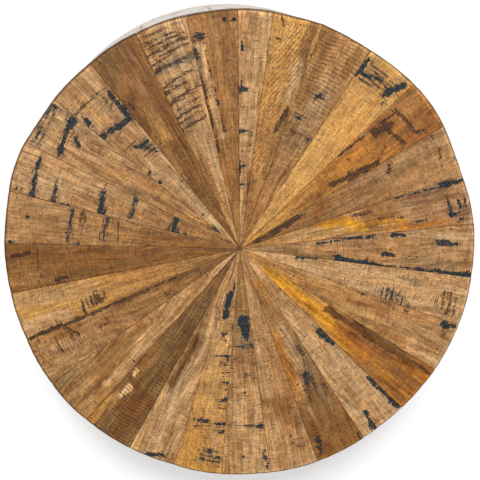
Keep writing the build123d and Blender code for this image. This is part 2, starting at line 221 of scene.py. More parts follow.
# Each board in turn, counter-clockwise: its share of the circle in degrees, its tone, or one for
# its tip and one for its rim, the lean of its grain in degrees, how far it waves in millimetres,
# how streaky it is, its saw marks (spacing in millimetres, lean in degrees, depth), and the marks
# that it kept. A mark is what it is, where it starts and ends (millimetres from the table's axis,
# then across from the board's middle line), its width and how solid it is, where 1 is a patch with
# a crisp edge.
boards = (
    (12.4, "caramel fawn", 0, 3, 1.3, (4, 10, 0.2), (
        ("amber", 105, 10, 140, 9, 9, 0.8), ("ochre", 112, 6, 144, 5, 8, 0.9),
        ("ochre", 140, 3, 166, -6, 14, 0.9), ("ochre", 178, -4, 208, -9, 8, 1),
        ("amber", 205, -16, 282, -27, 4, 0.95), ("stain", 152, 11, 172, 11, 5, 0.7),
        ("stain", 180, 0, 192, -2, 4, 0.7), ("stain", 196, -1, 212, -5, 3, 0.7),
        ("tar", 208, 22, 222, 22, 2.4, 0.95), ("tar", 226, 22, 240, 23, 2.2, 0.9),
        ("tar", 245, 23, 262, 24, 2.6, 0.9), ("tar", 267, 25, 296, 26, 7, 1),
        ("drift", 205, 5, 262, 18, 5, 0.7), ("bark", 225, 2, 262, 10, 6, 0.6),
        ("tar", 272, 3, 273, -15, 4, 1), ("tar", 273, -14, 290, -14, 6, 0.95),
        ("tar", 284, 1, 286, -9, 3.5, 0.95), ("tar", 292, 2, 291, -14, 2.2, 0.9),
        ("tar", 284, -23, 287, -24, 3, 0.9), ("tar", 228, -14, 240, -14, 3.5, 0.8),
        ("bark", 170, 16, 250, 20, 3, 0.6), ("sand", 60, -3, 120, -9, 4, 0.3),
        ("hazel", 165, 8, 200, 8, 14, 0.8), ("amber", 172, -8, 210, -14, 10, 0.7),
        ("hazel", 166, 2, 198, 0, 12, 0.9), ("saddle", 170, -10, 200, -14, 10, 0.9),
        ("sand", 62, 0, 104, 0, 8, 0.7), ("fawn", 236, 16, 275, 18, 9, 0.6),
        ("chestnut", 166, 0, 198, 0, 12, 0.8))),
    (13.0, "walnut tan", 0, 2.5, 0.9, (3.5, 5, 0.3), (
        ("stain", 20, 0, 42, 0, 5, 0.8), ("stain", 45, 1, 62, 3, 9, 0.95),
        ("stain", 66, 4, 92, 6, 9, 0.95), ("chestnut", 105, -2, 120, 6, 14, 0.6),
        ("nutmeg", 150, 0, 200, 0, 10, 0.4), ("stain", 217, 18, 211, 8, 4.5, 0.95),
        ("stain", 270, -5, 268, -11, 3.8, 0.95), ("stain", 281, 10, 278, -1, 3.4, 0.9),
        ("fawn", 165, 11, 200, 14, 12, 0.7))),
    (12.6, "honey chestnut", 0, 4, 1, (4, 0, 0.1), (
        ("amber", 130, 0, 200, 5, 22, 0.3), ("stain", 166, -11, 205, -19, 10, 0.98),
        ("stain", 142, -6, 158, -9, 7, 0.9), ("stain", 172, 18, 212, 19, 4.5, 0.95),
        ("stain", 172, 18, 177, 8, 2, 0.85), ("drift", 212, 20, 212, 20, 5, 0.9),
        ("stain", 226, 14, 248, 10, 13, 0.98), ("stain", 232, 18, 258, 18, 5, 0.85),
        ("stain", 262, 20, 266, -18, 4.5, 0.98), ("stain", 265, -15, 273, -21, 6, 0.9),
        ("stain", 240, 2, 246, -21, 6, 0.85), ("stain", 206, -16, 224, -8, 3, 0.7),
        ("russet", 262, 0, 296, 10, 14, 0.5), ("umber", 276, -22, 298, -26, 6, 0.6),
        ("russet", 266, 6, 298, 6, 44, 0.7), ("caramel", 266, 16, 298, 22, 14, 0.7))),
    (13.1, "gold", 2, 3, 0.7, (5, 0, 0.05), (
        ("tar", 262, 29, 288, 29, 8, 1), ("tar", 268, 26, 274, 6, 7, 0.95),
        ("tar", 274, 6, 274, -16, 3.2, 0.9), ("tar", 270, -16, 292, -26, 12, 0.9),
        ("tar", 262, 26, 263, -18, 3, 0.6), ("tar", 284, 24, 283, -20, 3.4, 0.58),
        ("tar", 278, 10, 279, -14, 5, 0.5), ("tar", 268, 14, 269, -12, 5, 0.48),
        ("tar", 255, -20, 266, -22, 5, 0.6), ("caramel", 258, 0, 298, 0, 40, 0.35),
        ("drift", 275, 17, 296, 19, 14, 0.5), ("drift", 275, -17, 296, -19, 14, 0.5))),
    (13.1, "saddle tan", 0, 3, 1.2, (5, 0, 0.3), (
        ("hatch", 205, 0, 300, 0, 60, 0.95), ("sand", 180, 0, 225, 0, 20, 0.6),
        ("drift", 30, 0, 120, 0, 6, 0.35), ("drift", 150, 0, 230, 0, 26, 0.3),
        ("walnut", 250, 27, 275, 28, 7, 0.7), ("stain", 163, 12, 170, 8, 3, 0.9),
        ("tar", 182, 10, 183, 8, 4, 0.85), ("tar", 163, -14, 165, -18, 3.4, 0.85),
        ("tar", 215, 0, 224, -7, 5, 0.9), ("stain", 218, -8, 214, 3, 3, 0.9),
        ("stain", 225, -5, 206, 2, 2, 0.9), ("stain", 222, -18, 223, -18, 3, 0.85),
        ("stain", 163, 10, 163, -18, 1.6, 0.9), ("stain", 186, 14, 186, 2, 1.6, 0.7),
        ("ochre", 60, -2, 110, -8, 3, 0.35), ("hazel", 205, 15, 298, 21, 17, 0.85),
        ("nutmeg", 262, -18, 298, -20, 17, 1), ("walnut", 268, 19, 298, 22, 15, 0.9),
        ("tan", 66, -4, 104, -7, 7, 0.7), ("hazel", 160, 11, 205, 14, 10, 0.5),
        ("saddle", 262, 0, 298, 0, 20, 0.6))),
    (12.2, "saddle wheat", 0, 3, 0.9, (4.2, 62, 0.3), (
        ("hatch", 110, 6, 280, -2, 36, 1), ("walnut", 99, -6, 168, -14, 6, 0.85),
        ("walnut", 168, -15, 296, -25, 8, 0.9), ("umber", 262, -15, 272, -15, 13, 0.9),
        ("stain", 157, -6, 186, -15, 7, 0.85), ("stain", 268, 16, 269, 20, 4, 0.85),
        ("stain", 285, 14, 297, 21, 4, 0.8), ("walnut", 55, 8, 110, 8, 5, 0.6),
        ("bark", 205, -19, 230, -21, 5, 0.7), ("sand", 200, -12, 240, -15, 14, 0.8),
        ("nutmeg", 118, 0, 152, 0, 12, 0.6), ("nutmeg", 266, -17, 298, -19, 12, 0.7))),
    (8.4, "sand", 0, 2.5, 1.3, (4, 0, 0.15), (
        ("tar", 82, 5, 82, -5, 1.6, 0.9), ("tar", 98, 7, 112, 7, 3, 0.9),
        ("tar", 105, 5, 107, -3, 4, 0.9), ("stain", 125, 5, 125, -5, 1.5, 0.8),
        ("stain", 133, 5, 133, -5, 1.5, 0.8), ("tar", 148, 9, 152, -3, 5, 0.95),
        ("stain", 178, 8, 178, -4, 1.5, 0.8), ("tar", 201, 13, 202, 4, 5, 0.95),
        ("tar", 207, 12, 220, 12, 2, 0.85), ("stain", 237, 12, 237, 0, 1.2, 0.8),
        ("tar", 252, 14, 262, 14, 4, 0.95), ("walnut", 58, -3, 85, -6, 4, 0.8),
        ("hazel", 215, 4, 295, 6, 2, 0.6), ("hazel", 225, -6, 290, -8, 2, 0.6),
        ("tan", 180, 8, 294, 13, 7, 0.85), ("bark", 60, -3, 100, -6, 6, 0.95),
        ("caramel", 262, 11, 296, 14, 7, 0.8), ("straw", 238, -10, 264, -12, 6, 0.7))),
    (12.3, "nutmeg saddle", 1, 4, 1.3, (4, 0, 0.1), (
        ("bark", 112, 3, 140, 10, 10, 0.7), ("sand", 212, 14, 146, 6, 13, 1),
        ("straw", 258, 21, 205, 14, 14, 1), ("stain", 128, 12, 150, 13, 4, 0.8),
        ("stain", 158, 16, 190, 19.5, 5, 0.9), ("stain", 196, 20, 228, 24, 4.5, 0.8),
        ("stain", 205, 20, 226, 23, 5, 0.9), ("drift", 228, 25, 264, 28, 7, 0.9),
        ("tar", 185, 6, 206, 8, 4, 0.75), ("stain", 150, 2, 184, 5, 3, 0.7),
        ("stain", 222, 10, 244, 13, 3, 0.7), ("tar", 246, 25, 262, 27, 5, 0.6),
        ("tar", 272, 18, 272, 27, 7, 0.8), ("nail", 289, -14, 289, -14, 5, 1),
        ("nail", 288, -26, 288, -26, 5, 1), ("umber", 297, 28, 297, -28, 7, 0.6),
        ("walnut", 112, 6, 150, 11, 8, 0.7))),
    (12.6, "tan sand", 0, 3, 1.1, (4, 8, 0.3), (
        ("stain", 167, 19, 174, -16, 3.6, 0.95), ("stain", 176, 18, 182, -14, 2.4, 0.85),
        ("stain", 184, 18, 190, -13, 3.4, 0.95), ("stain", 193, 18, 199, -15, 2.4, 0.8),
        ("stain", 203, 22, 213, -21, 5, 1), ("stain", 216, 24, 222, -6, 4.5, 0.95),
        ("stain", 225, 22, 234, -21, 3.4, 0.95), ("drift", 245, 26, 251, -28, 9, 0.9),
        ("stain", 246, 26, 252, -28, 5, 0.95), ("stain", 256, 26, 260, 0, 3.5, 0.95),
        ("stain", 262, 14, 267, -24, 3, 0.9), ("stain", 268, 27, 275, -25, 4, 1),
        ("stain", 276, 26, 281, -23, 3, 0.95), ("stain", 283, 26, 286, -22, 2.6, 0.9),
        ("stain", 290, 22, 294, -20, 2.6, 0.8), ("bark", 288, 28, 299, 24, 9, 0.7),
        ("stain", 210, -2, 212, -8, 6, 0.8), ("straw", 212, 12, 240, 10, 8, 0.6),
        ("bark", 250, -27, 262, -27, 5, 0.8), ("ochre", 40, 2, 70, 3, 2.4, 0.35),
        ("hazel", 66, 5, 160, 11, 8, 0.8), ("saddle", 270, 20, 298, 22, 10, 0.5),
        ("straw", 262, -18, 296, -20, 12, 0.6), ("tan", 206, 14, 236, 16, 8, 0.7),
        ("walnut", 268, 20, 298, 24, 8, 0.5))),
    (12.8, "walnut", 0, 17, 1.5, (3.5, 0, 0.15), (
        ("caramel", 150, 2, 210, 3, 14, 0.45), ("fawn", 236, -4, 262, 2, 12, 0.5),
        ("umber", 224, 20, 232, 20, 16, 0.9), ("bark", 262, 24, 296, 14, 22, 0.9),
        ("bark", 270, 4, 298, -4, 12, 0.6), ("biscuit", 276, -14, 290, -6, 8, 0.3),
        ("umber", 262, 24, 280, 28, 9, 0.7), ("stain", 82, 4, 83, -8, 1.5, 0.8),
        ("umber", 118, -2, 124, -2, 11, 0.7), ("umber", 142, 6, 156, 3, 14, 0.9),
        ("stain", 148, 5, 150, 3, 5, 0.45), ("umber", 190, 16, 215, 20, 6, 0.8),
        ("stain", 224, 19, 230, 20, 7, 0.6), ("bark", 196, -18, 246, -23, 7, 0.3),
        ("bark", 180, -4, 236, 4, 5, 0.5), ("bark", 286, -3, 299, -22, 10, 0.7),
        ("hatch", 287, -24, 288, -24, 12, 0.8), ("saddle", 118, 8, 152, 11, 8, 0.6))),
    (12.3, "biscuit tan", 0, 2.5, 1, (4.5, 0, 0.15), (
        ("hatch", 160, -12, 182, -12, 14, 1), ("hatch", 255, 0, 262, 0, 30, 0.6),
        ("tar", 222, -19, 257, -23, 8, 0.9), ("tar", 216, -17, 218, 0, 8, 0.95),
        ("tar", 218, 0, 224, 24, 8, 0.9), ("tar", 246, 22, 258, 23, 8, 0.8),
        ("tar", 252, -13, 258, -14, 5, 0.6), ("tar", 240, -10, 244, -16, 5, 0.55),
        ("tar", 185, 2, 176, -3, 4, 0.7), ("tar", 181, -4, 180, -13, 7, 0.9),
        ("tar", 174, -7, 174, -16, 6, 0.75), ("tar", 168, -10, 166, -17, 5, 0.65),
        ("tar", 162, -12, 160, -18, 4, 0.65), ("stain", 267, 26, 264, -26, 2.2, 0.9),
        ("stain", 192, 20, 190, -14, 2, 0.8), ("stain", 168, 4, 166, -14, 2, 0.7),
        ("tar", 150, 11, 149, 16, 5, 0.8), ("tar", 132, 12, 133, 12, 3, 0.8),
        ("tar", 15, 2, 15, 2, 3, 0.7), ("tar", 35, 4, 48, 3, 4, 0.75),
        ("tar", 65, 3, 65, 3, 4, 0.85), ("tar", 66, 7, 66, 7, 3, 0.8),
        ("hazel", 165, 10, 205, 14, 12, 0.6), ("straw", 270, -18, 296, -20, 14, 0.7))),
    (12.3, "saddle biscuit", 5, 4, 1.5, (4, 0, 0.1), (
        ("tar", 266, -22, 256, 24, 8, 0.95), ("tar", 250, -6, 241, -1, 6.5, 0.9),
        ("tar", 284, 26, 288, -22, 4, 0.6), ("tar", 296, -18, 291, 26, 7, 0.58),
        ("drift", 290, -16, 286, 22, 9, 0.35), ("tar", 289, -24, 296, -26, 5, 0.8),
        ("tar", 15, 0, 25, 0, 3, 0.7), ("tar", 33, -3, 45, -3, 3, 0.75),
        ("tar", 66, -4, 66, -4, 3, 0.8), ("russet", 120, -8, 230, -12, 4, 0.6),
        ("russet", 150, 8, 215, 12, 4, 0.5), ("tan", 165, 0, 195, 0, 12, 0.6),
        ("saddle", 118, 0, 155, 0, 12, 0.6), ("straw", 160, -11, 200, -14, 12, 0.6),
        ("straw", 272, -18, 288, -20, 12, 0.5), ("saddle", 168, 0, 195, 0, 12, 0.6))),
    (12.5, "saddle sand", -2, 3, 1, (4.5, 4, 0.2), (
        ("tar", 88, 8, 90, -7, 9, 0.98), ("tar", 72, 7, 86, 8, 6, 0.62),
        ("tar", 144, 11, 146, -12, 4.6, 0.75), ("tar", 146, -12, 147, -15, 6, 0.9),
        ("tar", 181, 20, 186, -8, 9, 0.98), ("stain", 186, -8, 188, -19, 2.6, 0.85),
        ("tar", 242, 24, 245, 4, 7, 0.85), ("tar", 245, 4, 247, -16, 3, 0.62),
        ("tar", 222, 24, 232, 24, 4, 0.8), ("tar", 270, 27, 276, -22, 7, 0.88),
        ("tar", 262, 28, 292, 29, 4, 0.7), ("tar", 284, 26, 285, 20, 3, 0.7),
        ("tar", 291, 27, 292, 20, 3, 0.7), ("tar", 206, 22, 214, 23, 3, 0.6),
        ("russet", 150, 0, 240, -8, 3, 0.35), ("sand", 262, 0, 298, 0, 34, 0.8),
        ("tan", 236, -17, 262, -19, 10, 0.7))),
    (12.8, "nutmeg tan", 0, 3, 0.9, (4, 0, 0.15), (
        ("umber", 60, 0, 125, 2, 16, 0.45), ("stain", 158, -16, 155, 13, 2, 0.85),
        ("tar", 172, -16, 173, 15, 4.4, 0.85), ("tar", 176, -16, 177, 12, 2, 0.7),
        ("stain", 203, -19, 202, -2, 8, 0.62), ("tar", 205, 22, 207, 22, 8, 0.9),
        ("tar", 216, -20, 218, 21, 5, 0.85), ("hatch", 150, -8, 215, -10, 20, 0.6),
        ("nail", 270, -4, 270, -4, 4, 1), ("tar", 290, 30, 291, 30, 6, 0.9),
        ("saddle", 118, 8, 152, 11, 9, 0.6))),
    (12.6, "walnut", 1, 6, 1, (4, 0, 0.15), (
        ("chestnut", 30, 0, 60, 0, 8, 0.4), ("caramel", 285, 10, 297, 10, 8, 0.5),
        ("straw", 296, 24, 299, 31, 4, 0.6), ("umber", 262, -18, 290, -15, 16, 0.85),
        ("stain", 266, -17, 288, -15, 7, 0.75), ("hatch", 225, 4, 290, 6, 40, 0.6),
        ("stain", 233, 19, 223, 18, 7, 0.85), ("umber", 284, 12, 256, 18, 7, 0.7),
        ("stain", 255, 20, 256, -20, 1.4, 0.7), ("saddle", 240, 16, 292, 18, 14, 0.8),
        ("umber", 165, -12, 205, -15, 8, 0.6), ("nutmeg", 235, 0, 275, 0, 16, 0.7),
        ("walnut", 165, 0, 195, 0, 16, 0.7))),
    (12.4, "saddle wheat", 0, 3, 0.8, (4, 0, 0.1), (
        ("sand", 195, -8, 292, -20, 20, 0.7), ("nutmeg", 170, -10, 220, -10, 12, 0.5),
        ("stain", 213, 21, 212, 3, 3, 0.95), ("stain", 206, 16, 205, 4, 2.4, 0.9),
        ("stain", 200, 15, 199, 1, 2.6, 0.9), ("stain", 195, 14, 194, -2, 2.4, 0.9),
        ("stain", 190, 13, 190, -4, 3, 0.95), ("stain", 182, 12, 182, -1, 2.4, 0.9),
        ("stain", 184, 10, 208, 15, 2.2, 0.75), ("stain", 246, 25, 292, 30.5, 3, 0.9),
        ("umber", 60, 5, 225, 23, 3, 0.5), ("sand", 235, 14, 296, 18, 16, 0.9),
        ("umber", 225, 23, 294, 31, 3.4, 0.9), ("straw", 240, 17, 298, 21, 18, 0.8))),
    (12.7, "walnut tan", -2, 8, 1.1, (4, 0, 0.2), (
        ("umber", 60, -5, 176, -17, 7, 0.95), ("stain", 90, -9, 140, -14, 3, 0.85),
        ("stain", 160, -17, 225, -23, 5, 0.9), ("stain", 214, -22, 291, -31, 5, 0.95),
        ("umber", 225, -17, 262, -21, 9, 0.85), ("stain", 58, 3, 58, -5, 2, 0.8),
        ("stain", 100, -8, 101, -8, 3, 0.8), ("stain", 110, 6, 112, -8, 3, 0.8),
        ("stain", 245, -24, 232, -5, 3.2, 0.95), ("stain", 241, -17, 242, -2, 2.4, 0.9),
        ("umber", 228, -9, 260, -16, 8, 0.7), ("stain", 288, -18, 277, -4, 2.4, 0.85),
        ("stain", 205, 0, 194, -1, 3, 0.7), ("stain", 282, -24, 294, -14, 2.4, 0.8),
        ("hatch", 222, -6, 296, -8, 34, 0.9), ("stain", 262, -20, 262, 2, 2, 0.8),
        ("bark", 150, 4, 220, 8, 6, 0.4), ("tan", 235, 0, 275, 0, 18, 0.6),
        ("saddle", 238, -16, 275, -18, 12, 0.6))),
    (12.6, "sand saddle", 6, 5, 1.3, (4, 0, 0.1), (
        ("umber", 266, 9, 238, 5, 8, 0.85), ("bark", 238, 5, 186, -5, 9, 0.8),
        ("straw", 127, -11, 179, 5, 8, 0.8), ("straw", 179, 7, 243, 14, 8, 0.7),
        ("drift", 205, -19, 300, -26, 6, 0.5), ("chestnut", 55, -1, 85, 2, 6, 0.6),
        ("bark", 270, -8, 300, -10, 9, 0.5), ("biscuit", 275, 16, 298, 20, 9, 0.5),
        ("stain", 200, 16, 201, 16, 4.5, 0.9), ("hazel", 160, -10, 232, -17, 12, 0.9),
        ("nutmeg", 205, 0, 240, 0, 14, 0.8), ("tan", 262, -2, 298, 0, 16, 0.7),
        ("hazel", 160, -10, 200, -14, 12, 0.8), ("straw", 118, 8, 200, 14, 9, 0.7),
        ("sand", 266, 0, 298, 0, 12, 0.6))),
    (12.9, "bark", 0, 5, 1.2, (4.5, 0, 0.3), (
        ("hatch", 165, 0, 300, 0, 62, 1), ("straw", 230, -13, 246, -17, 9, 1),
        ("sand", 209, -20, 214, -17, 9, 1), ("caramel", 248, -22, 296, -29, 9, 0.85),
        ("umber", 232, 24, 219, -18, 13, 1), ("umber", 236, 14, 268, 20, 12, 0.85),
        ("umber", 250, -8, 268, 4, 12, 0.6), ("umber", 276, 6, 296, 16, 8, 0.5),
        ("umber", 178, 16, 126, 8, 10, 0.6), ("hazel", 150, -10, 205, -14, 10, 0.8),
        ("stain", 208, -22, 222, -18, 3, 0.7), ("fawn", 262, -4, 290, -12, 5, 0.5),
        ("umber", 240, 4, 290, 10, 18, 0.75), ("straw", 207, -17, 212, -17, 6, 1))),
    (11.9, "tan sand", 0, 9, 1.5, (3.5, 20, 0.12), (
        ("walnut", 60, -8, 118, -12, 7, 0.8), ("bark", 150, -5, 170, -8, 8, 0.6),
        ("drift", 120, 2, 190, -2, 13, 0.4), ("straw", 126, 10, 200, 6, 5, 0.8),
        ("bark", 190, -17, 216, -19, 4, 0.6), ("drift", 206, -6, 232, -12, 16, 0.35),
        ("biscuit", 240, 0, 284, 6, 24, 0.7), ("honey", 265, -20, 296, -22, 7, 0.6),
        ("bark", 272, 8, 276, 10, 9, 0.4), ("hatch", 250, 0, 296, 0, 50, 0.5),
        ("tar", 290, 14, 297, -10, 5, 0.95), ("umber", 128, -7, 198, -15, 11, 0.98),
        ("straw", 60, 4, 118, 7, 6, 0.9), ("biscuit", 190, 10, 240, 8, 16, 0.6),
        ("sand", 236, 15, 275, 17, 12, 0.8))),
    (12.2, "sand honey", 0, 3, 0.9, (4, 8, 0.1), (
        ("hatch", 200, 0, 235, 0, 40, 0.5), ("drift", 272, 20, 284, 0, 10, 0.5),
        ("tar", 45, 2, 60, 3, 4, 0.7), ("tar", 62, -1, 92, -2, 11, 0.95),
        ("tar", 110, 4, 120, -2, 2, 0.9), ("tar", 113, -2, 122, 5, 2, 0.9),
        ("tar", 143, 13, 143, -3, 4.6, 0.9), ("stain", 100, 10, 138, 10, 1.6, 0.8),
        ("tar", 148, 13, 148, 4, 3.4, 0.85), ("tar", 153, 13, 153, 4, 3, 0.8),
        ("tar", 158, 14, 158, 6, 3, 0.8), ("tar", 163, 15, 163, 8, 3.4, 0.85),
        ("tar", 168, 15, 168, 9, 3, 0.8), ("tar", 177, 16, 177, 8, 4.4, 0.9),
        ("tar", 186, 17, 186, 11, 2.4, 0.75), ("tar", 200, 19, 202, 13, 5.4, 0.9),
        ("tar", 212, 20, 212, 14, 2.4, 0.7), ("tar", 232, 23, 234, 14, 5.5, 0.9),
        ("tar", 243, 24, 244, 18, 4, 0.85), ("tar", 231, 0, 232, -18, 5.4, 0.85),
        ("tar", 241, -8, 241, -14, 4, 0.8), ("tar", 270, 20, 271, -2, 6, 0.62),
        ("tar", 278, 22, 277, 0, 5, 0.6), ("tar", 284, 25, 285, -3, 6, 0.66),
        ("bark", 70, 3, 110, 3, 10, 0.7), ("sand", 238, 14, 276, 18, 12, 0.8),
        ("wheat", 240, -16, 275, -18, 12, 0.7))),
    (12.3, "hazel sand", 0, 3, 1, (4, 0, 0.25), (
        ("drift", 94, 0, 125, 0, 12, 0.6), ("hatch", 255, -18, 300, -18, 24, 0.8),
        ("straw", 186, 12, 186, -12, 2.4, 0.8), ("straw", 208, 14, 208, -14, 2.4, 0.8),
        ("straw", 224, 16, 224, -14, 2.4, 0.7), ("straw", 200, -6, 216, -7, 2, 0.6),
        ("tar", 94, 1, 117, 5, 14, 0.92), ("tar", 128, 13, 129, -14, 3.6, 0.9),
        ("stain", 128, -15, 160, -18, 2, 0.85), ("tar", 166, 3, 172, 18, 5, 0.5),
        ("nail", 190, 1, 190, 1, 3.5, 1), ("tar", 236, 22, 237, 15, 5.5, 0.95),
        ("tar", 236, 20, 233, -22, 1.8, 0.85), ("tar", 276, -4, 277, -4, 4, 0.9),
        ("tar", 272, 25, 298, 29, 6, 0.6), ("sand", 265, 14, 298, 18, 14, 0.7),
        ("nutmeg", 262, -14, 298, -18, 18, 0.7), ("straw", 206, 13, 236, 15, 10, 0.8),
        ("straw", 208, -4, 232, -4, 18, 0.7), ("saddle", 66, 4, 94, 5, 7, 0.8))),
    (12.0, "tan", -2, 2.5, 1.1, (3.5, 12, 0.15), (
        ("hatch", 90, 0, 190, 0, 32, 0.7), ("walnut", 204, -4, 236, 8, 22, 0.8),
        ("stain", 255, 4, 265, 8, 1.2, 0.75), ("stain", 262, 2, 275, 12, 1.2, 0.75),
        ("sand", 240, -14, 275, -18, 14, 0.6), ("sand", 165, -9, 195, -11, 12, 0.85),
        ("sand", 115, -7, 150, -9, 8, 0.7), ("straw", 240, -14, 275, -18, 14, 0.6))),
    (12.8, "tan walnut", 2, 6, 1.2, (4, 0, 0.15), (
        ("amber", 120, -8, 210, -18, 14, 0.6), ("amber", 51, 2, 53, 2, 9, 0.8),
        ("tar", 148, 11, 163, 12, 7, 0.5), ("tar", 168, 9, 176, 8, 4, 0.5),
        ("tar", 187, 4, 199, -1, 10, 0.75), ("tar", 200, 0, 222, -7, 6, 0.55),
        ("tar", 206, -6, 209, -7, 4, 0.6), ("stain", 192, 8, 216, 6, 5, 0.6),
        ("tar", 208, 19, 226, 16, 6, 0.42), ("drift", 165, 12, 230, 12, 16, 0.45),
        ("tar", 273, -20, 293, -24, 9, 0.75), ("tar", 290, 30, 299, 30, 4, 0.95),
        ("bark", 236, 10, 285, 14, 8, 0.5), ("hazel", 60, 2, 110, 3, 12, 0.8),
        ("bark", 194, 6, 230, 0, 20, 0.3), ("bark", 140, 9, 172, 13, 12, 0.4),
        ("sand", 112, 2, 155, -2, 14, 0.6), ("sand", 166, 2, 192, -4, 14, 0.8),
        ("hazel", 262, 0, 298, 0, 20, 0.6), ("tan", 205, -14, 240, -16, 12, 0.7),
        ("nutmeg", 66, 2, 104, 3, 12, 0.7), ("nutmeg", 66, 4, 104, 6, 8, 0.6),
        ("saddle", 70, 5, 104, 7, 7, 0.6))),
    (12.2, "sand", 0, 5, 1, (4, 0, 0.2), (
        ("bark", 55, -3, 95, -3, 12, 0.4), ("tar", 150, 12, 174, 16, 10, 0.82),
        ("tar", 240, 22, 262, 26, 7, 0.85), ("tar", 292, 30, 258, 25, 9, 0.92),
        ("tar", 272, -8, 282, -10, 8, 0.85), ("tar", 297, -13, 284, -10, 11, 0.85),
        ("straw", 205, -13, 275, -17, 13, 0.7))),
    (12.6, "gold chestnut", 0, 4, 1.3, (4, 0, 0.1), (
        ("ochre", 45, 0, 62, 0, 9, 0.9), ("ochre", 70, 0, 158, -2, 15, 0.85),
        ("ochre", 150, -4, 196, -9, 12, 0.6), ("amber", 170, -6, 215, -11, 16, 0.7),
        ("umber", 138, 8, 188, 13, 9, 1), ("umber", 180, 14, 296, 23, 13, 1),
        ("bark", 200, 20, 262, 26, 6, 1), ("stain", 198, 10, 292, 19, 1.8, 0.6),
        ("stain", 150, 12, 190, 19, 2.4, 0.6), ("amber", 250, 12, 298, 17, 7, 0.6),
        ("nutmeg", 200, 0, 290, 4, 9, 0.4), ("walnut", 258, -4, 288, -2, 9, 0.5),
        ("chestnut", 165, 2, 225, 2, 14, 0.9), ("chestnut", 262, -16, 298, -20, 14, 0.8),
        ("amber", 235, -10, 262, -14, 10, 0.5))),
    (12.6, "caramel tan", 0, 9, 1.2, (3, 20, 0.2), (
        ("straw", 255, -18, 290, -20, 14, 0.6), ("tar", 281, 26, 296, 29, 9, 0.9),
        ("stain", 130, 13, 236, 21, 2.2, 0.62), ("tar", 230, 21, 232, 21, 5, 0.8),
        ("saddle", 120, 2, 200, 4, 12, 0.5))),
    (12.4, "sand", 0, 5, 0.9, (3, 6, 0.2), (
        ("hatch", 100, 0, 300, 0, 60, 0.5), ("drift", 213, 12, 230, 10, 9, 0.6),
        ("tar", 74, 8, 99, 10, 7, 0.9), ("tar", 190, -10, 192, -20, 3, 0.75),
        ("tar", 197, -8, 199, -21, 3.8, 0.85), ("tar", 203, -9, 206, -22, 4.6, 0.9),
        ("tar", 210, -9, 214, -22, 2.8, 0.85), ("tar", 218, -12, 220, -22, 2.4, 0.7),
        ("stain", 262, -4, 264, -18, 2.6, 0.75), ("stain", 270, 6, 272, -17, 3, 0.8),
        ("stain", 278, 6, 280, -20, 3.6, 0.8), ("stain", 286, 2, 289, -20, 3, 0.75),
        ("umber", 278, -2, 282, -16, 6, 0.5), ("stain", 226, -22, 240, -24, 2.6, 0.7),
        ("fawn", 266, 16, 298, 20, 16, 0.5), ("drift", 74, 6, 100, 8, 7, 0.4))),
    (13.4, "tan", 0, 5, 1.1, (3.5, 4, 0.2), (
        ("tar", 124, -12, 178, -20, 9, 0.98), ("tar", 178, -20, 228, -24, 4, 0.95),
        ("tar", 296, -32, 228, -25, 8.5, 1), ("tar", 100, 8, 150, 15, 3, 0.8),
        ("tar", 130, 15, 155, 16, 6, 0.9), ("tar", 163, 17, 173, 19, 7, 0.9),
        ("tar", 195, 20, 210, 20, 6, 0.9), ("tar", 254, 10, 277, 8, 9, 0.9),
        ("tar", 240, 13, 241, 13, 4, 0.7), ("tar", 184, -5, 197, -8, 6.5, 0.9),
        ("drift", 205, -13, 246, -13, 6, 0.45), ("stain", 212, -8, 240, -8, 2, 0.6),
        ("chestnut", 290, -10, 298, -20, 6, 0.5), ("bark", 60, -4, 115, -10, 8, 0.7),
        ("biscuit", 262, 20, 296, 24, 14, 0.8), ("straw", 268, 20, 296, 22, 12, 0.5),
        ("drift", 236, -16, 272, -20, 12, 0.5))),
)


def cloud(x, y, seed):
    """Smooth noise from -1 to 1: seeded random values on the corners of a square lattice, eased
    from one corner to the next by 3t^2 - 2t^3."""
    size = 64
    lattice = np.random.default_rng(seed).uniform(-1.0, 1.0, (size, size))
    column, row = np.floor(x).astype(int), np.floor(y).astype(int)
    across, up = x - column, y - row
    across, up = across * across * (3 - 2 * across), up * up * (3 - 2 * up)
    left, right = column % size, (column + 1) % size
    low, high = (
        lattice[left, level % size] * (1 - across) + lattice[right, level % size] * across
        for level in (row, row + 1)
    )
    return low * (1 - up) + high * up


def stroke(along, across, start_along, start_across, end_along, end_across):
    """How far each point is from the straight stroke between two points, and how far along the
    stroke it lies, from 0 to 1."""
    step_along, step_across = end_along - start_along, end_across - start_across
    share = (along - start_along) * step_along + (across - start_across) * step_across
    share = np.clip(share / max(step_along**2 + step_across**2, 1e-6), 0.0, 1.0)
    distance = np.hypot(
        along - start_along - share * step_along, across - start_across - share * step_across
    )
    return distance, share


wood_tint = np.array((1.0, 1.15, 1.35))  # where wood is lighter or darker, blue changes most


